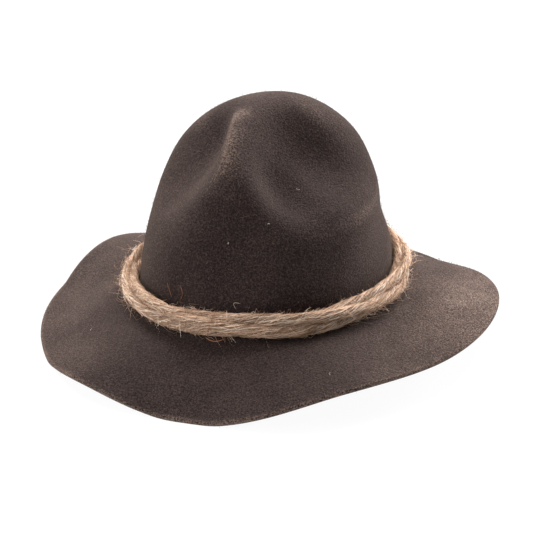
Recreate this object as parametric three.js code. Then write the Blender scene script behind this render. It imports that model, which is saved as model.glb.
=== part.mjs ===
import * as THREE from "three";
import { ParametricGeometry } from "three/addons/geometries/ParametricGeometry.js";
import { mergeVertices } from "three/addons/utils/BufferGeometryUtils.js";

// Alpine hat: a pinched dome crown and a wavy raw-edged brim blocked from one piece of wool
// felt, with a band of three thick jute strands laid round the foot of the crown.
//
// Lengths are in mm and angles in degrees. The front faces -Y and +Z is up. Every "toward"
// angle starts at the front and grows towards +X. Heights and drops are measured from the
// break line, where the top skin of the crown would meet the top skin of the brim.

const FELT = 2.4; // thickness of the felt
const BREAK_HEIGHT = 31; // break line above the surface the hat rests on
const BRIM_WIDTH = 73; // break line to the cut edge, along the felt
const BREAK_RADIUS = 9; // where the crown turns out into the brim
const BRIM_DROOP = 1.15; // above 1, the brim falls faster towards its edge
const FLATTENING = 1; // how softly the brim edge levels off on the surface
const REST_CONTACT = 0.1; // felt nearer than this to the surface lies on it

const STRAND_COUNT = 3;
const STRAND_WIDE = 4.8; // a strand is pressed to an oval against the crown
const STRAND_TALL = 6.3;
const STRAND_TURNS = 2; // turns of the strands round each other, once round the crown
const BUNDLE_WIDE = 6.3; // path of a strand round the middle of the bundle
const BUNDLE_TALL = 8.8;
const BUNDLE_HEIGHT = 9.4; // middle of the bundle above the break line
const BUNDLE_OUT = 6.8; // middle of the bundle out from the crown

const HOOD_SEGMENTS = 72;
const CROWN_RINGS = 16;
const BREAK_RINGS = 3;
const BRIM_RINGS = 7;
const RING_CROWDING = 1.4; // above 1, the brim's rings lie closer together at its edge
const STRAND_SEGMENTS = 80;
const STRAND_SIDES = 8;

// Ovals of the undented dome, from the break line up to the top.
const CROWN = [
  { level: 0, height: 0, halfWidth: 84.5, front: 101.5, back: 101.5, aside: 0.5 },
  { level: 1, height: 24, halfWidth: 83, front: 100, back: 98, aside: 1.5 },
  { level: 2, height: 47, halfWidth: 78, front: 92, back: 91, aside: 0.5 },
  { level: 3, height: 71, halfWidth: 75, front: 78, back: 84, aside: 2 },
  { level: 4, height: 92, halfWidth: 64.5, front: 66, back: 79, aside: 1.5 },
  { level: 5, height: 110, halfWidth: 46, front: 50, back: 61, aside: 0.5 },
  { level: 6, height: 122, halfWidth: 25, front: 26, back: 36, aside: 2.5 },
  { level: 7, height: 126.5, halfWidth: 0, front: 0, back: 0, aside: 3 },
];

// The two side dents. Each folds the dome inwards across a plane that faces toward and up, at
// a reach from DENT_CENTRE. The plane is bowed along the hat and downwards, the crease along
// its rim is rounded, and the dent dies out towards the back.
const DENT_CENTRE = new THREE.Vector3(0, 0, 48);
const DENTS = [
  {
    toward: -73,
    up: 39,
    reach: 62,
    fold: 0.5,
    crease: 7.5,
    bowAlong: 0.001,
    bowDown: -0.0025,
    fadeFrom: -28,
    fadeTo: 43,
  },
  {
    toward: 91,
    up: 56,
    reach: 60,
    fold: 0.47,
    crease: 20,
    bowAlong: 0.004,
    bowDown: -0.002,
    fadeFrom: -22,
    fadeTo: 71,
  },
];

// Smaller soft presses in the felt. A negative depth pushes the felt out.
const PRESSES = [
  { x: 19, y: -42, z: 78, toward: 98, up: 41, turn: -34, depth: 6.5, along: 10.5, across: 20 },
  { x: 31, y: 26, z: 107, toward: 19, up: 44, turn: 38, depth: -10, along: 17, across: 23 },
  { x: 71, y: 17, z: 65, toward: 81, up: 62, turn: 31, depth: 2.6, along: 18, across: 8.5 },
  { x: -27, y: -8, z: 100, toward: -74, up: 37, turn: -37, depth: 7.7, along: 17, across: 9 },
];
const PRESS_REACH = 35; // a press doesn't work on the far side of the crown

// How far the brim's edge would fall below the level of the break line, and how high the break
// line itself runs there. An edge lower than the surface lies flat on it.
const BRIM = [
  { toward: 0, drop: 30, foot: 0 },
  { toward: 30, drop: 8.5, foot: 0 },
  { toward: 60, drop: 7, foot: 0 },
  { toward: 90, drop: 8, foot: 0 },
  { toward: 120, drop: 17.5, foot: 0 },
  { toward: 150, drop: 33, foot: 0 },
  { toward: 180, drop: 34.5, foot: 0 },
  { toward: 210, drop: 33, foot: -1.5 },
  { toward: 240, drop: 15.5, foot: -5 },
  { toward: 270, drop: 32.5, foot: -6.5 },
  { toward: 300, drop: 33.5, foot: -5 },
  { toward: 330, drop: 22, foot: -1.5 },
];

const FELT_BROWN = 0x4a3f3c;
const JUTE_TAN = 0xa8876a;

function withEndRows(rows, before, after) {
  return [before, ...rows, after];
}

// Smooth curve through every column of a table. The first and last rows only steer it.
function follow(rows, key, position) {
  let i = 1;
  while (i < rows.length - 3 && position > rows[i + 1][key]) {
    i += 1;
  }
  const [before, from, to, after] = rows.slice(i - 1, i + 3);
  const span = to[key] - from[key];
  const t = (position - from[key]) / span;
  const value = {};
  for (const column of Object.keys(from)) {
    const leave = ((to[column] - before[column]) / (to[key] - before[key])) * span;
    const arrive = ((after[column] - from[column]) / (after[key] - from[key])) * span;
    const rise = to[column] - from[column];
    const bend = 3 * rise - 2 * leave - arrive;
    const twist = leave + arrive - 2 * rise;
    value[column] = from[column] + t * (leave + t * (bend + t * twist));
  }
  return value;
}

// The dome carries on over its top, and the oval below the break line mirrors the one above.
function crownRows() {
  const below = { ...CROWN[1], level: -1, height: -CROWN[1].height };
  const beyond = { ...CROWN[6], level: 8 };
  beyond.halfWidth = -CROWN[6].halfWidth;
  beyond.front = -CROWN[6].back;
  beyond.back = -CROWN[6].front;
  for (const column of ["halfWidth", "front", "back"]) {
    below[column] = 2 * CROWN[0][column] - CROWN[1][column];
  }
  return withEndRows(CROWN, below, beyond);
}

function brimRows() {
  const last = BRIM[BRIM.length - 1];
  const before = { ...last, toward: last.toward - 360 };
  const again = { ...BRIM[0], toward: 360 };
  const after = { ...BRIM[1], toward: BRIM[1].toward + 360 };
  return withEndRows([...BRIM, again], before, after);
}

const crownTable = crownRows();
const brimTable = brimRows();

function direction(toward, up = 0) {
  const a = THREE.MathUtils.degToRad(toward);
  const e = THREE.MathUtils.degToRad(up);
  return new THREE.Vector3(Math.sin(a) * Math.cos(e), -Math.cos(a) * Math.cos(e), Math.sin(e));
}

function pressDent(point, dent) {
  const facing = direction(dent.toward, dent.up);
  const backwards = direction(dent.toward + Math.sign(dent.toward) * 90);
  const offset = point.clone().sub(DENT_CENTRE);
  const along = offset.dot(backwards);
  const down = offset.dot(facing.clone().cross(backwards));
  const bow = dent.bowAlong * along ** 2 + dent.bowDown * down ** 2;
  const out = offset.dot(facing) - dent.reach + bow;
  const over = (out + Math.hypot(out, dent.crease)) / 2;
  const fade = 1 - THREE.MathUtils.smoothstep(along, dent.fadeFrom, dent.fadeTo);
  point.addScaledVector(facing, -(1 + dent.fold) * over * fade);
}

function pressIn(point, press) {
  const facing = direction(press.toward, press.up);
  const level = direction(press.toward + 90);
  const turn = THREE.MathUtils.degToRad(press.turn);
  const along = level.clone().applyAxisAngle(facing, turn);
  const across = facing.clone().cross(along);
  const offset = point.clone().sub(new THREE.Vector3(press.x, press.y, press.z));
  if (offset.dot(facing) > -PRESS_REACH) {
    const spread = (offset.dot(along) / press.along) ** 2 + (offset.dot(across) / press.across) ** 2;
    point.addScaledVector(facing, -press.depth * Math.exp(-spread / 2));
  }
}

function crownPoint(toward, level) {
  const oval = follow(crownTable, "level", level);
  const round = THREE.MathUtils.degToRad(toward);
  const forward = (oval.front - oval.back) / 2 + ((oval.front + oval.back) / 2) * Math.cos(round);
  const point = new THREE.Vector3(oval.halfWidth * Math.sin(round) + oval.aside, -forward, oval.height);
  for (const dent of DENTS) {
    pressDent(point, dent);
  }
  for (const press of PRESSES) {
    pressIn(point, press);
  }
  return point;
}

function brimAt(toward) {
  return follow(brimTable, "toward", THREE.MathUtils.euclideanModulo(toward, 360));
}

// Point and outward direction on the foot of the crown, some way above the break line.
function crownFoot(toward, above) {
  const round = THREE.MathUtils.degToRad(toward);
  const height = brimAt(toward).foot + above;
  const share = height / CROWN[1].height;
  const halfWidth = THREE.MathUtils.lerp(CROWN[0].halfWidth, CROWN[1].halfWidth, share);
  const halfLength = THREE.MathUtils.lerp(CROWN[0].front, CROWN[1].front, share);
  const point = new THREE.Vector3(
    halfWidth * Math.sin(round) + CROWN[0].aside,
    -halfLength * Math.cos(round),
    height,
  );
  const out = new THREE.Vector3(Math.sin(round) / halfWidth, -Math.cos(round) / halfLength, 0);
  return { point, out: out.normalize() };
}

function brimPoint(toward, along) {
  const { drop, foot } = brimAt(toward);
  const { point, out } = crownFoot(toward, 0);
  const share = along / BRIM_WIDTH;
  point.addScaledVector(out, Math.sqrt(BRIM_WIDTH ** 2 - (drop + foot) ** 2) * share);
  const fall = foot - (drop + foot) * share ** BRIM_DROOP;
  const rest = FELT - BREAK_HEIGHT;
  const near = Math.max(FLATTENING - Math.abs(fall - rest), 0);
  point.z = Math.max(fall, rest) + near ** 2 / (4 * FLATTENING);
  return point;
}

// The top skin, ring by ring from the top of the crown to the edge of the brim.
const EDGE_RING = CROWN_RINGS + BREAK_RINGS + BRIM_RINGS;
const BREAK_LEVEL = BREAK_RADIUS / CROWN[1].height;

function topSkin(turn, ring) {
  const toward = turn * 360;
  if (ring <= CROWN_RINGS) {
    const level = THREE.MathUtils.lerp(CROWN.length - 1, BREAK_LEVEL, ring / CROWN_RINGS);
    return crownPoint(toward, level);
  }
  if (ring < CROWN_RINGS + BREAK_RINGS) {
    const crown = crownPoint(toward, BREAK_LEVEL);
    const brim = brimPoint(toward, BREAK_RADIUS);
    const bend = new THREE.QuadraticBezierCurve3(crown, crownFoot(toward, 0).point, brim);
    return bend.getPoint((ring - CROWN_RINGS) / BREAK_RINGS);
  }
  const left = (EDGE_RING - ring) / BRIM_RINGS;
  return brimPoint(toward, THREE.MathUtils.lerp(BRIM_WIDTH, BREAK_RADIUS, left ** RING_CROWDING));
}

// The under skin lies one thickness of felt inside the top skin, and flat where it rests.
function underSkin(turn, ring) {
  const atTop = ring === 0;
  const start = atTop ? 0 : turn;
  const step = atTop ? 0.25 : 0.5 / HOOD_SEGMENTS;
  const row = Math.max(ring, 0.5);
  const round = topSkin(start + step, row).sub(topSkin(start - step, row));
  const inner = atTop ? topSkin(0.5, 0.5) : topSkin(start, row - 0.5);
  const down = topSkin(start, Math.min(row + 0.5, EDGE_RING)).sub(inner);
  const point = topSkin(turn, ring).addScaledVector(down.cross(round).normalize(), -FELT);
  if (point.z < REST_CONTACT - BREAK_HEIGHT) {
    point.z = -BREAK_HEIGHT;
  }
  return point;
}

function feltSkin(u, v, target) {
  const ring = Math.round(v * (2 * EDGE_RING + 1));
  const turn = 1 - u;
  target.copy(ring <= EDGE_RING ? topSkin(turn, ring) : underSkin(turn, 2 * EDGE_RING + 1 - ring));
}

// One strand: an oval section carried round the crown while it circles the bundle's middle.
function strandSkin(strand) {
  return (u, v, target) => {
    const phase = 2 * Math.PI * (strand / STRAND_COUNT - STRAND_TURNS * u);
    const section = 2 * Math.PI * v;
    const above = BUNDLE_HEIGHT + (BUNDLE_TALL / 2) * Math.sin(phase);
    const { point, out } = crownFoot(u * 360, above);
    const across = (BUNDLE_WIDE * Math.cos(phase) + STRAND_WIDE * Math.cos(section)) / 2;
    target.copy(point).addScaledVector(out, BUNDLE_OUT + across);
    target.z += (STRAND_TALL / 2) * Math.sin(section);
  };
}

// Closes a grid of faces: seams are joined and the faces that shrink to nothing are dropped.
function closed(grid) {
  grid.deleteAttribute("normal");
  grid.deleteAttribute("uv");
  const joined = mergeVertices(grid, 1e-3);
  const corners = joined.index.array;
  const kept = [];
  for (let i = 0; i < corners.length; i += 3) {
    const [a, b, c] = corners.slice(i, i + 3);
    if (a !== b && b !== c && c !== a) {
      kept.push(a, b, c);
    }
  }
  joined.setIndex(kept);
  joined.computeVertexNormals();
  return joined;
}

function addPiece(group, name, geometry, colour, roughness) {
  const material = new THREE.MeshStandardMaterial({ color: colour, roughness, metalness: 0 });
  const mesh = new THREE.Mesh(geometry, material);
  mesh.name = name;
  group.add(mesh);
}

const pieces = new THREE.Group();
const felt = new ParametricGeometry(feltSkin, HOOD_SEGMENTS, 2 * EDGE_RING + 1);
addPiece(pieces, "felt_hood", closed(felt), FELT_BROWN, 0.95);
for (let strand = 0; strand < STRAND_COUNT; strand += 1) {
  const jute = new ParametricGeometry(strandSkin(strand), STRAND_SEGMENTS, STRAND_SIDES);
  addPiece(pieces, `jute_strand_${strand + 1}`, closed(jute), JUTE_TAN, 0.9);
}

// The origin is under the middle of the hat, on the surface it rests on.
const bounds = new THREE.Box3().setFromObject(pieces);
const middle = bounds.getCenter(new THREE.Vector3());
pieces.position.set(-middle.x, -middle.y, -bounds.min.z);

const hat = new THREE.Group();
hat.name = "alpine_hat";
hat.add(pieces);

export default hat;
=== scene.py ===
import math

import bpy
import numpy as np
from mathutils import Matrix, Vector


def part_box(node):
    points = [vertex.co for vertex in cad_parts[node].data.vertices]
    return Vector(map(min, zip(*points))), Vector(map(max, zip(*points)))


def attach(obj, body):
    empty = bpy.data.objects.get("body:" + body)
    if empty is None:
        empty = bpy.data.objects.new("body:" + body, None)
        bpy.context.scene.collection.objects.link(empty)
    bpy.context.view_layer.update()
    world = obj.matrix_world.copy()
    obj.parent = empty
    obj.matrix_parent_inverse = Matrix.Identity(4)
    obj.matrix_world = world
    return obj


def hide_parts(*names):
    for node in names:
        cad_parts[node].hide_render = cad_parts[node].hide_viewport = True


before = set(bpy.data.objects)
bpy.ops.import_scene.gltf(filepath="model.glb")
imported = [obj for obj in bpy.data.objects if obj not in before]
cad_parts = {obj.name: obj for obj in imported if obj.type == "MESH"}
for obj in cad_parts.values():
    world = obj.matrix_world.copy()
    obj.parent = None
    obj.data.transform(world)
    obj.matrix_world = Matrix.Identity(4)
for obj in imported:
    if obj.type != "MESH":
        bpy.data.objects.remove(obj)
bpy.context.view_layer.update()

# The felt hood.
# Crown and brim are one piece of wool felt, blocked over a dome while wet and then pinched
# by hand at both sides of the front. The brim is ironed out and left with a raw cut edge.

MM = 0.001
FELT = 2.4
BREAK_HEIGHT = 31
BRIM_WIDTH = 73
BREAK_RADIUS = 9
BRIM_DROOP = 1.15
FLATTENING = 1
CROWN = [  # level, height, half width, front, back, aside
    (0, 0, 84.5, 101.5, 101.5, 0.5),
    (1, 24, 83, 100, 98, 1.5),
    (2, 47, 78, 92, 91, 0.5),
    (3, 71, 75, 78, 84, 2),
    (4, 92, 64.5, 66, 79, 1.5),
    (5, 110, 46, 50, 61, 0.5),
    (6, 122, 25, 26, 36, 2.5),
    (7, 126.5, 0, 0, 0, 3),
]
DENTS = [  # toward, up, reach, fold, crease, bow along, bow down, fade from, fade to
    (-73, 39, 62, 0.5, 7.5, 0.001, -0.0025, -28, 43),
    (91, 56, 60, 0.47, 20, 0.004, -0.002, -22, 71),
]
DENT_CENTRE = (0, 0, 48)
PRESS_REACH = 35
PRESSES = [  # x, y, z, toward, up, roll, depth, along, across
    (19, -42, 78, 98, 41, -34, 6.5, 10.5, 20),
    (31, 26, 107, 19, 44, 38, -10, 17, 23),
    (71, 17, 65, 81, 62, 31, 2.6, 18, 8.5),
    (-27, -8, 100, -74, 37, -37, 7.7, 17, 9),
]
BRIM = [  # toward, drop of the edge, height of the break line
    (0, 30, 0), (30, 8.5, 0), (60, 7, 0), (90, 8, 0), (120, 17.5, 0), (150, 33, 0),
    (180, 34.5, 0), (210, 33, -1.5), (240, 15.5, -5), (270, 32.5, -6.5), (300, 33.5, -5), (330, 22, -1.5),
]


def follow(rows, at):
    rows = np.array(rows, float)
    key, value = rows[:, 0], rows[:, 1:]
    slope = np.zeros_like(value)
    slope[1:-1] = (value[2:] - value[:-2]) / (key[2:] - key[:-2])[:, None]
    i = np.clip(np.searchsorted(key, at, side="right") - 1, 1, len(key) - 3)
    span = (key[i + 1] - key[i])[..., None]
    t = (at - key[i])[..., None] / span
    rise = value[i + 1] - value[i]
    leave, arrive = slope[i] * span, slope[i + 1] * span
    return value[i] + t * (leave + t * ((3 * rise - 2 * leave - arrive) + t * (leave + arrive - 2 * rise)))


def direction(toward, up=0.0):
    a, e = math.radians(toward), math.radians(up)
    return np.array([math.sin(a) * math.cos(e), -math.cos(a) * math.cos(e), math.sin(e)])


def brim_at(toward):
    last, first, second = BRIM[-1], BRIM[0], BRIM[1]
    wrapped = [(last[0] - 360, *last[1:]), *BRIM, (360, *first[1:]), (second[0] + 360, *second[1:])]
    drop, foot = np.moveaxis(follow(wrapped, np.mod(toward, 360)), -1, 0)
    return drop, foot


def crown_foot(toward, above):
    a = np.radians(toward)
    height = brim_at(toward)[1] + above
    share = height / CROWN[1][1]
    wide = CROWN[0][2] + (CROWN[1][2] - CROWN[0][2]) * share
    long = CROWN[0][3] + (CROWN[1][3] - CROWN[0][3]) * share
    point = np.stack([wide * np.sin(a) + CROWN[0][5], -long * np.cos(a), height], -1)
    out = np.stack([np.sin(a) / wide, -np.cos(a) / long, 0 * a], -1)
    return point, out / np.linalg.norm(out, axis=-1, keepdims=True)


def crown_point(toward, level):
    low, high = CROWN[1], CROWN[6]
    mirrored = (2 * CROWN[0][column] - low[column] for column in (2, 3, 4))
    below = (-1, -low[1], *mirrored, low[5])
    beyond = (CROWN[-1][0] + 1, high[1], -high[2], -high[4], -high[3], high[5])
    oval = follow([below, *CROWN, beyond], level)
    height, wide, front, back, aside = (oval[..., i] for i in range(5))
    a = np.radians(toward)
    x = wide * np.sin(a) + aside
    y = -((front - back) / 2 + (front + back) / 2 * np.cos(a))
    p = np.stack([x, y, height], -1)
    for turn, up, reach, fold, crease, bow_along, bow_down, fade_from, fade_to in DENTS:
        facing = direction(turn, up)
        backwards = direction(turn + math.copysign(90, turn))
        offset = p - np.array(DENT_CENTRE)
        along = offset @ backwards
        down = offset @ np.cross(facing, backwards)
        out = offset @ facing - reach + bow_along * along**2 + bow_down * down**2
        over = (out + np.hypot(out, crease)) / 2
        t = np.clip((along - fade_from) / (fade_to - fade_from), 0, 1)
        p = p - ((1 + fold) * over * (1 - t * t * (3 - 2 * t)))[..., None] * facing
    for px, py, pz, turn, up, roll, depth, long, across in PRESSES:
        facing = direction(turn, up)
        level_way = direction(turn + 90)
        other = np.cross(facing, level_way)
        r = math.radians(roll)
        way = level_way * math.cos(r) + other * math.sin(r)
        side = np.cross(facing, way)
        offset = p - np.array([px, py, pz])
        spread = (offset @ way / long) ** 2 + (offset @ side / across) ** 2
        push = np.where(offset @ facing > -PRESS_REACH, depth * np.exp(-spread / 2), 0)
        p = p - push[..., None] * facing
    return p


def brim_point(toward, along):
    drop, foot = brim_at(toward)
    point, out = crown_foot(toward, 0 * toward)
    share = along / BRIM_WIDTH
    point = point + out * (np.sqrt(BRIM_WIDTH**2 - (drop + foot) ** 2) * share)[..., None]
    fall = foot - (drop + foot) * share**BRIM_DROOP
    rest = FELT - BREAK_HEIGHT
    near = np.maximum(FLATTENING - np.abs(fall - rest), 0)
    point[..., 2] = np.maximum(fall, rest) + near**2 / (4 * FLATTENING)
    return point


def felt_skin(around, crown_rings, bend_rings, brim_rings):
    toward = np.arange(around + 1) * 360.0 / around
    bend_level = BREAK_RADIUS / CROWN[1][1]
    levels = np.linspace(CROWN[-1][0], bend_level, crown_rings)
    rings = [crown_point(toward, np.full(around + 1, level)) for level in levels]
    from_crown, to_brim = rings[-1], brim_point(toward, np.full(around + 1, float(BREAK_RADIUS)))
    corner, _ = crown_foot(toward, 0 * toward)
    for t in np.linspace(0, 1, bend_rings + 2)[1:-1]:
        rings.append((1 - t) ** 2 * from_crown + 2 * t * (1 - t) * corner + t**2 * to_brim)
    for along in np.linspace(BREAK_RADIUS, BRIM_WIDTH, brim_rings):
        rings.append(brim_point(toward, np.full(around + 1, along)))
    return np.array(rings)


def outward(grid):
    wide = np.roll(grid[:, :-1], -1, 1) - np.roll(grid[:, :-1], 1, 1)
    down = np.gradient(grid[:, :-1], axis=0)
    n = np.cross(down, wide)
    n[0] = n[1].mean(0)
    n = n / np.linalg.norm(n, axis=-1, keepdims=True)
    return np.concatenate([n, n[:, :1]], 1)


def grid_mesh(name, grid, lengthways):
    rows, columns = grid.shape[:2]
    mesh = bpy.data.meshes.new(name)
    inside = grid[1:-1, :-1].reshape(-1, 3)
    verts = np.concatenate([grid[:1, 0], inside, grid[-1:, 0]]) * MM
    turn = columns - 1

    def at(r, c):
        if r == 0:
            return 0
        return len(verts) - 1 if r == rows - 1 else 1 + (r - 1) * turn + c % turn

    faces, uvs = [], []
    for r in range(rows - 1):
        for c in range(turn):
            ring = [(r, c), (r + 1, c), (r + 1, c + 1), (r, c + 1)]
            if r == 0:
                ring = [(0, c), (1, c), (1, c + 1)]
            if r == rows - 2:
                ring = [(r, c), (r + 1, c), (r, c + 1)]
            faces.append([at(*k) for k in ring])
            uvs += [(k[1] / turn, lengthways[k[0]]) for k in ring]
    mesh.from_pydata(verts.tolist(), [], faces)
    layer = mesh.uv_layers.new(name="along_felt")
    layer.data.foreach_set("uv", np.array(uvs, "f").ravel())
    mesh.shade_smooth()
    return mesh


SKIN_AROUND, CROWN_ROWS, BEND_ROWS, BRIM_ROWS = 360, 122, 8, 54
UNDER_EVERY = 3
EDGE_SWELL = 0.15

top = felt_skin(SKIN_AROUND, CROWN_ROWS, BEND_ROWS, BRIM_ROWS)
normal = outward(top)
brim_start = CROWN_ROWS + BEND_ROWS
edge_row = brim_start + BRIM_ROWS
under_rows = np.r_[0:edge_row - 1:UNDER_EVERY, edge_row - 1]
under = (top - FELT * normal)[under_rows][::-1]
under[..., 2] = np.maximum(under[..., 2], -BREAK_HEIGHT)
compass = np.arange(SKIN_AROUND + 1) * 360 / SKIN_AROUND
_, edge_out = crown_foot(compass, 0 * compass)
edge = top[-1] - FELT / 2 * normal[-1] + EDGE_SWELL * edge_out
skin = np.concatenate([top, edge[None], under])
steps = np.linalg.norm(np.diff(skin, axis=0), axis=-1).mean(1)
lengthways = np.concatenate([[0], np.cumsum(steps)]) * MM
skin_box = np.array([skin.min((0, 1)), skin.max((0, 1))])
cad_low, cad_high = (np.array(v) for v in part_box("felt_hood"))
cad_middle = (cad_low + cad_high) / 2 / MM
skin_middle = skin_box.mean(0)
shift = np.array([*(cad_middle - skin_middle)[:2], BREAK_HEIGHT])
hood = bpy.data.objects.new("felt_hood_skin", grid_mesh("felt_hood_skin", skin + shift, lengthways))
bpy.context.scene.collection.objects.link(hood)


def bend_of(points, normals, axis):
    """How sharply the skin curves outwards along one way of its grid, per mm."""
    step = np.roll(points, -2, axis) - np.roll(points, 2, axis)
    turn = np.roll(normals, -2, axis) - np.roll(normals, 2, axis)
    return (step * turn).sum(-1) / np.maximum((step**2).sum(-1), 1e-3)


def side_of_brim(middle, width):
    return np.exp(-(((compass[:-1] - middle) / width) ** 2))


# Hands and use rub the folds paler, the sharpest most, and the folds also carry a painted sheen highlight.
# The cut edge gets a painted highlight, and the sides of the brim are painted lighter towards the edge, the
# right one most, as painted light.
APEX_ROWS = 6
# Painted highlight on the last brim rows before the cut edge, as if back light caught the nap there.
EDGE_HIGHLIGHT = [[0.1], [0.35], [0.6]]
SMOOTHINGS = 3

open_top, open_normal = top[:, :-1], normal[:, :-1]
# Painted highlight, partly real wear: the skin is painted paler where it bends sharply, along the crests of
# the folds and ridges.
sharpness = (bend_of(open_top, open_normal, 0) + bend_of(open_top, open_normal, 1)) / 2
soft_folds = np.clip((sharpness - 0.018) / 0.02, 0, 1)
sharp_folds = np.clip((sharpness - 0.035) / 0.055, 0, 1)
rubbed_and_lit = 0.34 * soft_folds + 0.76 * sharp_folds
rubbed_and_lit[:APEX_ROWS] = 0
# Painted light: the right side of the brim, and the left a little, are painted lighter towards the edge.
lit_brim_sides = 0.62 * side_of_brim(92, 40) + 0.2 * side_of_brim(285, 45)
rubbed_and_lit[brim_start:] = np.linspace(0.3, 1, BRIM_ROWS)[:, None] * lit_brim_sides
rubbed_and_lit[-len(EDGE_HIGHLIGHT):] = np.maximum(rubbed_and_lit[-len(EDGE_HIGHLIGHT):], EDGE_HIGHLIGHT)
for _ in range(SMOOTHINGS):
    rubbed_and_lit = (rubbed_and_lit + np.roll(rubbed_and_lit, 1, 1) + np.roll(rubbed_and_lit, -1, 1)) / 3
# The cut edge row is painted fully pale and the first row under it partly, as painted highlight.
rubbed_and_lit = np.concatenate([rubbed_and_lit, np.ones((1, SKIN_AROUND)), np.zeros((len(under), SKIN_AROUND))])
rubbed_and_lit[edge_row + 1] = EDGE_HIGHLIGHT[-1][0]
wear = hood.data.attributes.new("wear", "FLOAT", "POINT")
wear.data.foreach_set("value", np.r_[rubbed_and_lit[0, 0], rubbed_and_lit[1:-1].ravel(), 0].astype("f"))


class Socket:
    """A value in a node tree that can be added, subtracted and scaled like a number."""

    def __init__(self, tree, link):
        self.tree, self.link = tree, link

    def _maths(self, operation, *values):
        return self.tree.add("ShaderNodeMath", {"operation": operation}, *values)

    def __add__(self, other):
        return self._maths("ADD", self, other)

    def __sub__(self, other):
        return self._maths("SUBTRACT", self, other)

    def __rsub__(self, other):
        return self._maths("SUBTRACT", other, self)

    def __mul__(self, other):
        return self._maths("MULTIPLY", self, other)

    __radd__, __rmul__ = __add__, __mul__

    def between(self, low, high):
        return self.tree.add("ShaderNodeMapRange", {}, self, low, high, 0.0, 1.0)


class Tree:
    """Adds one node at a time to a shader or a geometry tree."""

    def __init__(self, nodes_tree):
        self.nodes_tree = nodes_tree

    def node(self, kind, settings=None, *values, **named):
        node = self.nodes_tree.nodes.new(kind)
        for key, value in (settings or {}).items():
            if key == "stops":
                ramp = node.color_ramp
                while len(ramp.elements) < len(value):
                    ramp.elements.new(0.5)
                for stop, (position, colour) in zip(ramp.elements, value):
                    stop.position = position
                    stop.color = (*colour, 1)
            else:
                setattr(node, key, value)
        pairs = [(node.inputs[i], v) for i, v in enumerate(values)]
        pairs += [(node.inputs[k.replace("_", " ")], v) for k, v in named.items()]
        for socket, value in pairs:
            if value is None:
                continue
            if isinstance(value, Socket):
                self.nodes_tree.links.new(value.link, socket)
            elif hasattr(value, "is_linked"):
                self.nodes_tree.links.new(value, socket)
            else:
                socket.default_value = value
        return node

    def add(self, kind, settings=None, *values, output=0, **named):
        return Socket(self, self.node(kind, settings, *values, **named).outputs[output])


def new_material(name):
    material = bpy.data.materials.new(name)
    material.use_nodes = True
    material.node_tree.nodes.clear()
    return material, Tree(material.node_tree)


def finish_material(tree, shader):
    out = tree.nodes_tree.nodes.new("ShaderNodeOutputMaterial")
    tree.nodes_tree.links.new(shader.outputs[0], out.inputs["Surface"])


felt_material, felt = new_material("brushed_wool_felt")
place = felt.node("ShaderNodeTexCoord").outputs["Object"]
clouds = felt.add("ShaderNodeTexNoise", {}, Vector=place, Scale=26.0, Detail=3.0, Roughness=0.55)
mottle = felt.add("ShaderNodeTexNoise", {}, Vector=place, Scale=760.0, Detail=2.0, Roughness=0.6)
fuzz = felt.add("ShaderNodeTexNoise", {}, Vector=place, Scale=1250.0, Detail=2.0, Roughness=0.7)
# This mask lifts the felt's colour: real wear on the folds plus painted highlight on the ridges, the cut edge
# and the brim's sides.
worn_and_lit = felt.add("ShaderNodeAttribute", {"attribute_name": "wear"}, output=2)
grain = clouds.between(0.3, 0.7) * 0.15 + mottle.between(0.38, 0.62) * 0.2
grain = grain + fuzz.between(0.42, 0.58) * 0.3 - 0.325
colour = felt.add("ShaderNodeValToRGB", {"stops": [
    (0.12, (0.0078, 0.0052, 0.0053)),
    (0.36, (0.0205, 0.0139, 0.0135)),
    (0.6, (0.059, 0.041, 0.036)),
    (1.0, (0.17, 0.12, 0.095)),
]}, grain * (0.78 + worn_and_lit * 1.6) + worn_and_lit * 0.46 + 0.378)
height = mottle * 0.6 + fuzz * 0.4
bump = felt.node("ShaderNodeBump", {}, Height=height, Strength=0.95, Distance=0.001)
felt_shader = felt.node(
    "ShaderNodeBsdfPrincipled", {}, Base_Color=colour, Roughness=0.95, Normal=bump.outputs[0],
    Sheen_Weight=0.1, Sheen_Roughness=0.45, Sheen_Tint=(0.85, 0.62, 0.5, 1), Specular_IOR_Level=0.04,
)
finish_material(felt, felt_shader)
hood.data.materials.append(felt_material)
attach(hood, "root")
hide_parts("felt_hood")

# The nap. Short ends of wool, raised by brushing and steaming, stand out of the felt wherever
# it doesn't face down, so also on the steepest inner walls. Each bends over towards its tip.

NAP_PER_SQUARE_METRE = 92000.0


def new_recipe(name, inputs):
    group = bpy.data.node_groups.new(name, "GeometryNodeTree")
    for label, kind in inputs:
        group.interface.new_socket(label, in_out="INPUT", socket_type="NodeSocket" + kind)
    group.interface.new_socket("Result", in_out="OUTPUT", socket_type="NodeSocketGeometry")
    source = group.nodes.new("NodeGroupInput")
    tree = Tree(group)
    return tree, {label: Socket(tree, source.outputs[label]) for label, _ in inputs}


def finish_recipe(tree, result):
    out = tree.nodes_tree.nodes.new("NodeGroupOutput")
    tree.nodes_tree.links.new(result.link, out.inputs["Result"])


def grow(name, source, tree, values):
    """Runs a recipe on a mesh and keeps what it makes as a plain mesh object."""
    carrier = bpy.data.objects.new(name, source)
    bpy.context.scene.collection.objects.link(carrier)
    modifier = carrier.modifiers.new("recipe", "NODES")
    modifier.node_group = tree.nodes_tree
    for item in tree.nodes_tree.interface.items_tree:
        if item.in_out == "INPUT" and item.name in values:
            modifier[item.identifier] = values[item.name]
    evaluated = carrier.evaluated_get(bpy.context.evaluated_depsgraph_get())
    made = bpy.data.meshes.new_from_object(evaluated)
    made.name = name
    carrier.modifiers.clear()
    carrier.data = made
    return carrier


def chance(tree, low, high, seed, number=None):
    return tree.add("FunctionNodeRandomValue", {"data_type": "FLOAT"}, None, None, low, high,
                    None, None, None, number, seed, output=1)


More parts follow.
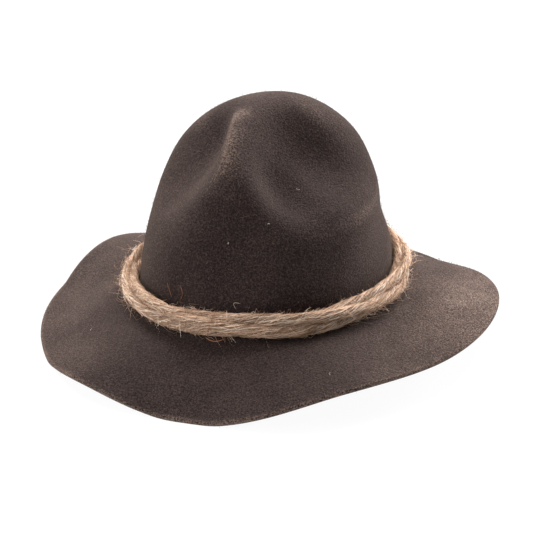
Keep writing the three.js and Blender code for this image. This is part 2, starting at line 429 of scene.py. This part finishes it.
nap_tree, given = new_recipe("wool_nap", [
    ("Geometry", "Geometry"), ("Hairs per square metre", "Float"), ("Length", "Float"),
    ("Thickness", "Float"), ("Material", "Material"),
])
facing_up = nap_tree.add("ShaderNodeSeparateXYZ", {}, nap_tree.add("GeometryNodeInputNormal", {}), output=2)
on_top = nap_tree.add("FunctionNodeCompare", {"operation": "GREATER_THAN"}, facing_up, -0.1)
scatter = nap_tree.node("GeometryNodeDistributePointsOnFaces", {}, Mesh=given["Geometry"], Selection=on_top,
                        Density=given["Hairs per square metre"], Seed=4)
hair_line = nap_tree.add("GeometryNodeCurveQuadraticBezier", {},
                         3, (0, 0, -0.1), (0.25, 0, 0.5), (0.95, 0, 0.75))
hair_line = nap_tree.add("GeometryNodeResampleCurve", {}, Curve=hair_line, Count=3)
hair_side = nap_tree.add("GeometryNodeCurvePrimitiveCircle", {}, Resolution=3, Radius=1.0)
hair = nap_tree.add("GeometryNodeCurveToMesh", {}, Curve=hair_line, Profile_Curve=hair_side,
                    Scale=given["Thickness"], Fill_Caps=True)
spin = nap_tree.add("ShaderNodeCombineXYZ", {}, chance(nap_tree, -0.5, 0.5, 7),
                    chance(nap_tree, -0.5, 0.5, 8), chance(nap_tree, 0.0, 2 * math.pi, 9))
turned = nap_tree.add("FunctionNodeRotateRotation", {"rotation_space": "LOCAL"},
                      Socket(nap_tree, scatter.outputs["Rotation"]),
                      nap_tree.add("FunctionNodeEulerToRotation", {}, spin))
grown = chance(nap_tree, 0.0, 1.0, 10)
sized = given["Length"] * (0.5 + grown * grown)
planted = nap_tree.add("GeometryNodeInstanceOnPoints", {}, Points=Socket(nap_tree, scatter.outputs["Points"]),
                       Instance=hair, Rotation=turned,
                       Scale=nap_tree.add("ShaderNodeCombineXYZ", {}, sized, sized, sized))
real = nap_tree.add("GeometryNodeRealizeInstances", {}, planted)
finish_recipe(nap_tree, nap_tree.add(
    "GeometryNodeSetMaterial", {}, Geometry=real, Material=given["Material"]))

wool_material, wool = new_material("wool_ends")
finish_material(wool, wool.node(
    "ShaderNodeBsdfPrincipled", {}, Base_Color=(0.13, 0.095, 0.078, 1), Roughness=0.9,
    Specular_IOR_Level=0.1))
nap = grow("wool_nap", hood.data, nap_tree, {
    "Hairs per square metre": NAP_PER_SQUARE_METRE,
    "Length": 0.0017, "Thickness": 0.028, "Material": wool_material,
})
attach(nap, "root")

# The jute strands.
# Three thick strands of natural jute, each spun loosely from long fibres, twisted slowly
# round each other and closed into a ring that sits round the foot of the crown.

STRAND_COUNT = 3
STRAND_WIDE, STRAND_TALL = 4.8, 6.3
STRAND_TURNS = 2
BUNDLE_WIDE, BUNDLE_TALL = 6.3, 8.8
BUNDLE_HEIGHT, BUNDLE_OUT = 9.4, 6.8
STRAND_LENGTH = 630
LAY_TURNS = 7
PLIES = 3
CORE_SEGMENTS, CORE_SIDES = 640, 32
CORE_SWELL = 0.1


def strand_path(strand, u):
    phase = 2 * np.pi * (strand / STRAND_COUNT - STRAND_TURNS * u)
    height = BUNDLE_HEIGHT + BUNDLE_TALL / 2 * np.sin(phase)
    point, out = crown_foot(u * 360, height)
    return point + out * (BUNDLE_OUT + BUNDLE_WIDE / 2 * np.cos(phase))[..., None], out


def strand_skin(strand):
    u = np.arange(CORE_SEGMENTS) / CORE_SEGMENTS
    middle, out = strand_path(strand, u)
    section = 2 * np.pi * np.arange(CORE_SIDES)[None] / CORE_SIDES
    round_ring = 2 * np.pi * u[:, None]
    lay = section - LAY_TURNS * round_ring
    plies = 0.86 + 0.19 * np.abs(np.cos(PLIES / 2 * lay))
    ripple = 0.035 * np.cos(8 * lay + 3 * np.sin(31 * round_ring))
    slow_slub = 0.05 * np.sin(5 * round_ring + 0.6 * np.pi * strand)
    quick_slub = 0.05 * np.sin(13 * round_ring + 1.4 * np.pi * strand)
    girth = (plies + ripple) * (1 + slow_slub + quick_slub)
    wide = (STRAND_WIDE / 2 + CORE_SWELL) * girth * np.cos(section)
    tall = (STRAND_TALL / 2 + CORE_SWELL) * girth * np.sin(section)
    return middle[:, None] + out[:, None] * wide[..., None] + np.array([0, 0, 1.0]) * tall[..., None]


def ring_mesh(name, grid):
    segments, sides = grid.shape[:2]
    r, c = np.meshgrid(np.arange(segments), np.arange(sides), indexing="ij")
    near, far = (r + 1) % segments, (c + 1) % sides
    corners = np.stack([r * sides + c, near * sides + c, near * sides + far, r * sides + far], -1)
    mesh = bpy.data.meshes.new(name)
    mesh.from_pydata((grid.reshape(-1, 3) * MM).tolist(), [], corners.reshape(-1, 4).tolist())
    layer = mesh.uv_layers.new(name="along_strand")
    lengthways = np.stack([r, r + 1, r + 1, r], -1) / segments
    crossways = np.stack([c, c, c + 1, c + 1], -1) / sides
    uv = np.stack([lengthways, crossways], -1)
    layer.data.foreach_set("uv", uv.astype("f").ravel())
    mesh.shade_smooth()
    return mesh


jute_material, jute = new_material("spun_jute")
unrolled = jute.node("ShaderNodeUVMap", {"uv_map": "along_strand"}).outputs[0]
parts = jute.node("ShaderNodeSeparateXYZ", {}, unrolled)
along, round_it = Socket(jute, parts.outputs[0]), Socket(jute, parts.outputs[1])
angle = (round_it - along * LAY_TURNS) * (2 * math.pi)
across = jute.add("ShaderNodeCombineXYZ", {}, along * (STRAND_LENGTH * 0.06),
                  jute.add("ShaderNodeMath", {"operation": "COSINE"}, angle) * 3.0,
                  jute.add("ShaderNodeMath", {"operation": "SINE"}, angle) * 3.0)
streaks = jute.add("ShaderNodeTexNoise", {}, Vector=across, Scale=2.2, Detail=5.0, Roughness=0.7)
patches = jute.add("ShaderNodeTexNoise", {}, Vector=across, Scale=0.5, Detail=2.0)
jute_value = streaks.between(0.28, 0.72) * 0.75 + patches.between(0.3, 0.7) * 0.25
jute_colour = jute.add("ShaderNodeValToRGB", {"stops": [
    (0.2, (0.1, 0.052, 0.028)),
    (0.5, (0.26, 0.16, 0.1)),
    (0.85, (0.5, 0.35, 0.25)),
]}, jute_value)
jute_bump = jute.node("ShaderNodeBump", {}, Height=streaks, Strength=0.9, Distance=0.0008)
finish_material(jute, jute.node(
    "ShaderNodeBsdfPrincipled", {}, Base_Color=jute_colour, Roughness=0.8, Normal=jute_bump.outputs[0],
    Sheen_Weight=0.25, Sheen_Roughness=0.5, Specular_IOR_Level=0.25))

fibre_material, fibre = new_material("jute_fibre")
# Fibre colour from a random tone with painted shade on the felt side and underside of the strands.
tone = fibre.add("ShaderNodeAttribute", {"attribute_name": "tone"}, output=2)
fibre_colour = fibre.add("ShaderNodeValToRGB", {"stops": [
    (0.0, (0.16, 0.08, 0.042)),
    (0.3, (0.5, 0.315, 0.205)),
    (0.7, (0.78, 0.56, 0.41)),
    (1.0, (0.9, 0.78, 0.66)),
]}, tone)
finish_material(fibre, fibre.node(
    "ShaderNodeBsdfPrincipled", {}, Base_Color=fibre_colour, Roughness=0.9, Specular_IOR_Level=0.12))

# Fibres follow the strand's own surface: each is a short line in its unrolled skin, "Lay" turns
# of the strand per turn of the ring, lifted a little more at its ends than in its middle. Only
# the side away from the felt is free to send out loose ends.
fibre_tree, given = new_recipe("jute_fibres", [
    ("Geometry", "Geometry"), ("Count", "Int"), ("Steps", "Int"), ("Length", "Float"), ("Lay", "Float"),
    ("Spread", "Float"), ("Curl", "Float"), ("Lift", "Float"), ("Loose end", "Float"), ("Thickness", "Float"),
    ("Seed", "Int"), ("Material", "Material"),
])
starts = fibre_tree.add("GeometryNodePoints", {}, Count=given["Count"])
straight = fibre_tree.add("GeometryNodeResampleCurve", {}, Count=given["Steps"],
                          Curve=fibre_tree.add("GeometryNodeCurvePrimitiveLine", {}))
lines = fibre_tree.add("GeometryNodeRealizeInstances", {},
                       fibre_tree.add("GeometryNodeInstanceOnPoints", {}, Points=starts, Instance=straight))
number = fibre_tree.add("GeometryNodeCurveOfPoint", {}) * 13 + given["Seed"] * 7919
step = fibre_tree.add("GeometryNodeSplineParameter", {})
middle = step - 0.5
reach = given["Length"] * chance(fibre_tree, 0.5, 1.3, 1, number)
along_at = chance(fibre_tree, 0.0, 1.0, 2, number) + middle * reach
slope = given["Lay"] + given["Spread"] * chance(fibre_tree, -1.0, 1.0, 3, number)
bow = chance(fibre_tree, -1.0, 1.0, 4, number) * given["Spread"] * given["Length"] * middle * middle
waves = step * chance(fibre_tree, 1.0, 2.6, 11, number) + chance(fibre_tree, 0.0, 1.0, 12, number)
weave = fibre_tree.add("ShaderNodeMath", {"operation": "SINE"}, waves * (2 * math.pi))
weave = weave * given["Curl"] * chance(fibre_tree, 0.0, 1.0, 13, number)
round_at = chance(fibre_tree, 0.0, 1.0, 5, number) + slope * middle * reach + bow + weave
wrap = {"operation": "FRACT"}
spot = fibre_tree.add("ShaderNodeCombineXYZ", {}, fibre_tree.add("ShaderNodeMath", wrap, along_at),
                      fibre_tree.add("ShaderNodeMath", wrap, round_at))
unrolled = fibre_tree.add("GeometryNodeInputNamedAttribute", {"data_type": "FLOAT_VECTOR"},
                          Name="along_strand")


def on_skin(value):
    return fibre_tree.add("GeometryNodeSampleUVSurface", {"data_type": "FLOAT_VECTOR"},
                          given["Geometry"], value, unrolled, spot)


loose = chance(fibre_tree, 0.0, 1.0, 6, number)
lift = given["Lift"] * (chance(fibre_tree, 0.1, 1.0, 7, number) + 6 * middle * middle * loose)
section = round_at * (2 * math.pi)
# Painted shade: this share also darkens the fibres' tone on the side towards the felt and underneath, and
# lightens the outward and upper side.
outward_and_lit = 0.25 + 0.75 * fibre_tree.add("ShaderNodeMath", {"operation": "COSINE"}, section)
outward_and_lit = outward_and_lit + 0.25 * fibre_tree.add("ShaderNodeMath", {"operation": "SINE"}, section)
outward_and_lit = fibre_tree.add("ShaderNodeMath", {"operation": "MAXIMUM"}, outward_and_lit, 0.0)
lift = lift + given["Loose end"] * outward_and_lit * loose * loose * step * step * (0.4 + step)
skin_normal = on_skin(fibre_tree.add("GeometryNodeInputNormal", {}))
away = fibre_tree.add("ShaderNodeVectorMath", {"operation": "SCALE"}, skin_normal, Scale=lift)
laid = fibre_tree.add("GeometryNodeSetPosition", {}, Geometry=lines, Offset=away,
                      Position=on_skin(fibre_tree.add("GeometryNodeInputPosition", {})))
taper = given["Thickness"] * chance(fibre_tree, 0.5, 1.4, 8, number) * (1.15 - 3.2 * middle * middle)
# The stored tone is random colour times painted shade.
laid = fibre_tree.add("GeometryNodeStoreNamedAttribute", {"data_type": "FLOAT", "domain": "POINT"},
                      Geometry=laid, Name="tone",
                      Value=chance(fibre_tree, 0.0, 1.0, 9, number) * (0.55 + 0.5 * outward_and_lit))
fibre_side = fibre_tree.add("GeometryNodeCurvePrimitiveCircle", {}, Resolution=3, Radius=1.0)
solid = fibre_tree.add("GeometryNodeCurveToMesh", {}, Curve=laid, Profile_Curve=fibre_side, Scale=taper,
                       Fill_Caps=True)
finish_recipe(fibre_tree, fibre_tree.add(
    "GeometryNodeSetMaterial", {}, Geometry=solid, Material=given["Material"]))

fibre_share = 1.0
for strand in range(STRAND_COUNT):
    name = f"jute_core_{strand + 1}"
    core = bpy.data.objects.new(name, ring_mesh(name, strand_skin(strand) + shift))
    bpy.context.scene.collection.objects.link(core)
    core.data.materials.append(jute_material)
    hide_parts(f"jute_strand_{strand + 1}")
    laid_fibres = grow(f"jute_fibres_{strand + 1}", core.data, fibre_tree, {
        "Count": int(1700 * fibre_share), "Steps": 9, "Length": 0.045, "Lay": float(LAY_TURNS),
        "Spread": 6.0, "Curl": 0.022, "Lift": 0.00048, "Loose end": 0.001, "Thickness": 0.0002,
        "Seed": strand, "Material": fibre_material,
    })
    stray_hairs = grow(f"jute_hairs_{strand + 1}", core.data, fibre_tree, {
        "Count": int(1300 * fibre_share), "Steps": 8, "Length": 0.026, "Lay": 5.0,
        "Spread": 30.0, "Curl": 0.14, "Lift": 0.0009, "Loose end": 0.0078, "Thickness": 0.00008,
        "Seed": strand + 5, "Material": fibre_material,
    })
    for piece in (core, laid_fibres, stray_hairs):
        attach(piece, "root")

# Loose ends. Two stiff brown fibres and a curled one stand at the top of the band, a copper
# thread tacks the strands together at the front, and bits of lint lie on the felt.


def tube(name, points, thickness, material, sides=5):
    points = np.array(points, float)
    way = np.gradient(points, axis=0)
    way /= np.linalg.norm(way, axis=1, keepdims=True)
    over = np.cross(way, [0.21, 0.34, 0.92])
    over /= np.linalg.norm(over, axis=1, keepdims=True)
    beside = np.cross(way, over)
    count = len(points)
    radius = thickness / 2 * np.clip(1.1 - (2 * np.linspace(0, 1, count) - 1) ** 8, 0.1, 1)[:, None]
    turns = 2 * np.pi * np.arange(sides) / sides
    rings = [points + radius * (math.cos(a) * over + math.sin(a) * beside) for a in turns]
    verts = np.stack(rings, 1).reshape(-1, 3) * MM
    faces = []
    for start in range(0, (count - 1) * sides, sides):
        for k in range(sides):
            after = (k + 1) % sides
            faces.append((start + k, start + after, start + sides + after, start + sides + k))
    faces.append(tuple(range(sides))[::-1])
    faces.append(tuple((count - 1) * sides + k for k in range(sides)))
    mesh = bpy.data.meshes.new(name)
    mesh.from_pydata(verts.tolist(), [], faces)
    mesh.shade_smooth()
    mesh.materials.append(material)
    piece = bpy.data.objects.new(name, mesh)
    bpy.context.scene.collection.objects.link(piece)
    return piece


def felt_spot(toward, where, on_brim):
    skin_at = brim_point if on_brim else crown_point

    def spot_at(turned, moved):
        return skin_at(np.array([toward + turned]), np.array([float(where + moved)]))[0]

    spot = spot_at(0, 0)
    level_way, rise_way = spot_at(1, 0) - spot, spot_at(0, 0.01) - spot
    if on_brim:
        rise_way = -rise_way
    level_way /= np.linalg.norm(level_way)
    rise_way /= np.linalg.norm(rise_way)
    return spot + shift, level_way, rise_way, np.cross(level_way, rise_way)


def plain_fibre(name, colour):
    material, tree = new_material(name)
    finish_material(tree, tree.node("ShaderNodeBsdfPrincipled", {}, Base_Color=(*colour, 1), Roughness=0.6))
    return material


pale = plain_fibre("pale_fibre", (0.5, 0.4, 0.32))
copper = plain_fibre("copper_thread", (0.3, 0.11, 0.045))
CLEAR_OF_FELT = 0.25
LOOSE = [  # name, toward, level or along the brim, on the brim, heading, length, bow, lift, thickness
    ("standing_fibre_1", 330.6, 0.75, False, 96, 10.5, 1.6, 4.0, 0.3),
    ("standing_fibre_2", 336.0, 0.8, False, 84, 10.5, -1.2, 3.0, 0.3),
    ("curled_fibre", 4.0, 0.86, False, 60, 5.5, 3.6, 2.5, 0.22),
    ("lint_1", 18.8, 3.25, False, 20, 1.6, 0.3, 0.3, 0.45),
    ("lint_2", 358.1, 2.53, False, 80, 1.2, 0.2, 0.2, 0.35),
    ("lint_3", 56.0, 4.48, False, 140, 2.4, 0.8, 0.5, 0.16),
    ("lint_4", 88.5, 42, True, 78, 4.5, 0.9, 0.8, 0.2),
    ("lint_5", 30.0, 53.5, True, 70, 2.5, 0.7, 0.4, 0.18),
    ("lint_6", 305.6, 39.4, True, 130, 3.0, 0.8, 0.5, 0.18),
]
t = np.linspace(0, 1, 14)[:, None]
for name, toward, where, on_brim, heading, length, bow, lift, thickness in LOOSE:
    start, level_way, rise_way, away = felt_spot(toward, where, on_brim)
    a = math.radians(heading)
    ahead = math.cos(a) * level_way + math.sin(a) * rise_way
    aside = math.cos(a) * rise_way - math.sin(a) * level_way
    path = start + length * t * ahead + 4 * bow * t * (1 - t) * aside
    path = path + (CLEAR_OF_FELT + lift * t * t) * away
    piece = tube(name, path, thickness, copper if name.startswith("standing") else pale)
    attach(piece, "root")

TACK_TOWARD, TACK_SLANT, TACK_TALL = 354.6, 1.2, 8.2
LOOP_TOWARD, LOOP_SPAN, LOOP_BELOW = 356.2, 3.6, 7.6
TACK_THICK = 0.5

end_to_end = np.linspace(-1, 1, 22)
base, out = crown_foot(TACK_TOWARD + TACK_SLANT * end_to_end, BUNDLE_HEIGHT + TACK_TALL * end_to_end)
over_band = BUNDLE_OUT + 6.4 * np.sqrt(1.02 - end_to_end**2) - 0.6
stitch = base + out * over_band[:, None] + shift
belly = 1 - end_to_end**2
base, out = crown_foot(LOOP_TOWARD + LOOP_SPAN * end_to_end, BUNDLE_HEIGHT - LOOP_BELOW - 1.6 * belly)
loop = base + out * (BUNDLE_OUT + 3.6 + 1.2 * belly)[:, None] + shift
for name, path in (("tack_stitch", stitch), ("tack_loop", loop)):
    piece = tube(name, path, TACK_THICK, copper)
    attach(piece, "root")

# Floor, light and camera.
# A pale studio floor, white light from behind, above and both sides, and the photograph's view.

FLOOR_HALF = 14
corners = [(x * FLOOR_HALF, y * FLOOR_HALF, 0) for x, y in ((-1, -1), (1, -1), (1, 1), (-1, 1))]
floor_mesh = bpy.data.meshes.new("studio_floor")
floor_mesh.from_pydata(corners, [], [(0, 1, 2, 3)])
floor = bpy.data.objects.new("studio_floor", floor_mesh)
bpy.context.scene.collection.objects.link(floor)
floor_material, floor_tree = new_material("pale_floor")
finish_material(floor_tree, floor_tree.node(
    "ShaderNodeBsdfPrincipled", {}, Base_Color=(0.05, 0.05, 0.05, 1), Roughness=0.9,
    Specular_IOR_Level=0.1, Emission_Color=(1, 1, 1, 1), Emission_Strength=0.95))
floor_mesh.materials.append(floor_material)

world = bpy.data.worlds.new("studio")
world.use_nodes = True
background = world.node_tree.nodes["Background"]
background.inputs["Color"].default_value = (1, 1, 1, 1)
background.inputs["Strength"].default_value = 0.42
bpy.context.scene.world = world
bpy.context.scene.view_settings.view_transform = "Standard"


def soft_light(name, place, size, power):
    data = bpy.data.lights.new(name, "AREA")
    data.shape = "DISK"
    data.size = size
    data.energy = power
    lamp = bpy.data.objects.new(name, data)
    lamp.location = place
    lamp.rotation_euler = (Vector((0, 0, 0.05)) - Vector(place)).to_track_quat("-Z", "Y").to_euler()
    bpy.context.scene.collection.objects.link(lamp)


soft_light("back_left_light", (-1.2, 1.4, 1.35), 0.9, 68)
soft_light("back_right_light", (0.5, 1.8, 1.4), 0.9, 52)
soft_light("low_right_light", (1.35, 1.6, 0.6), 0.7, 66)
soft_light("top_light", (0.2, 0.6, 1.9), 1.2, 34)
soft_light("left_fill", (-1.6, -1.2, 0.75), 1.0, 32)

VIEW_TOWARD, VIEW_UP = 14, 22
VIEW_DISTANCE = 1.3
PHOTO_WIDTH_PX = 533
PHOTO_PX_PER_MM = 1.475
SENSOR_WIDTH = 36
TARGET_ABOVE_BREAK = 7

target = Vector((shift + [0, 0, TARGET_ABOVE_BREAK]) * MM)
toward_camera = Vector(direction(VIEW_TOWARD, VIEW_UP))
lens = bpy.data.cameras.new("view")
lens.sensor_width = SENSOR_WIDTH
lens.lens = PHOTO_PX_PER_MM * (VIEW_DISTANCE / MM) / PHOTO_WIDTH_PX * SENSOR_WIDTH
lens.clip_end = 20
camera = bpy.data.objects.new("view", lens)
camera.location = target + toward_camera * VIEW_DISTANCE
camera.rotation_euler = (-toward_camera).to_track_quat("-Z", "Y").to_euler()
bpy.context.scene.collection.objects.link(camera)
bpy.context.scene.camera = camera
